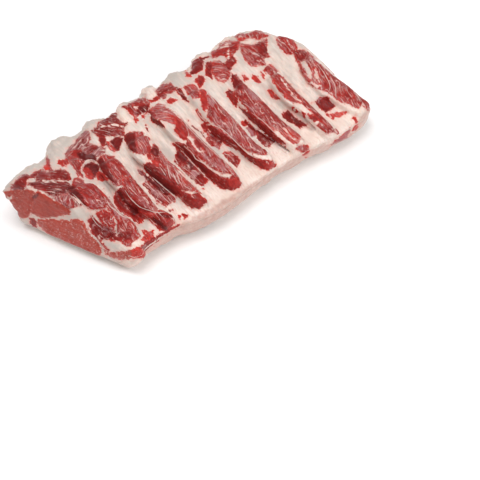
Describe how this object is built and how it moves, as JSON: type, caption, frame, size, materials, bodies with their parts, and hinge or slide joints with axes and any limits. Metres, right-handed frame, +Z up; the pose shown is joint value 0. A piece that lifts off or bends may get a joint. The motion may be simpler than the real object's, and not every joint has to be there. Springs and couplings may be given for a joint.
{
  "type": "raw beef rib roast",
  "caption": "Boneless raw beef rib roast lying on its fat cap, with rib beds and strips of meat on top and an eye-muscle cut at one end.",
  "frame": {"origin": "centre of the roast's footprint box, on the surface that it lies on", "axes": "+X along the backbone, away from the eye-end cut; +Y towards the backbone edge; +Z up, from the fat cap to the rib side"},
  "size_m": [0.4396, 0.2144, 0.08],
  "materials": {
    "lean": "moist raw beef, red lean with cream fat on the rib beds",
    "fat": "soft cream fat, lightly moist"
  },
  "bodies": {
    "root": {"lean": "lean", "fat_cap": "fat"}
  },
  "joints": []
}
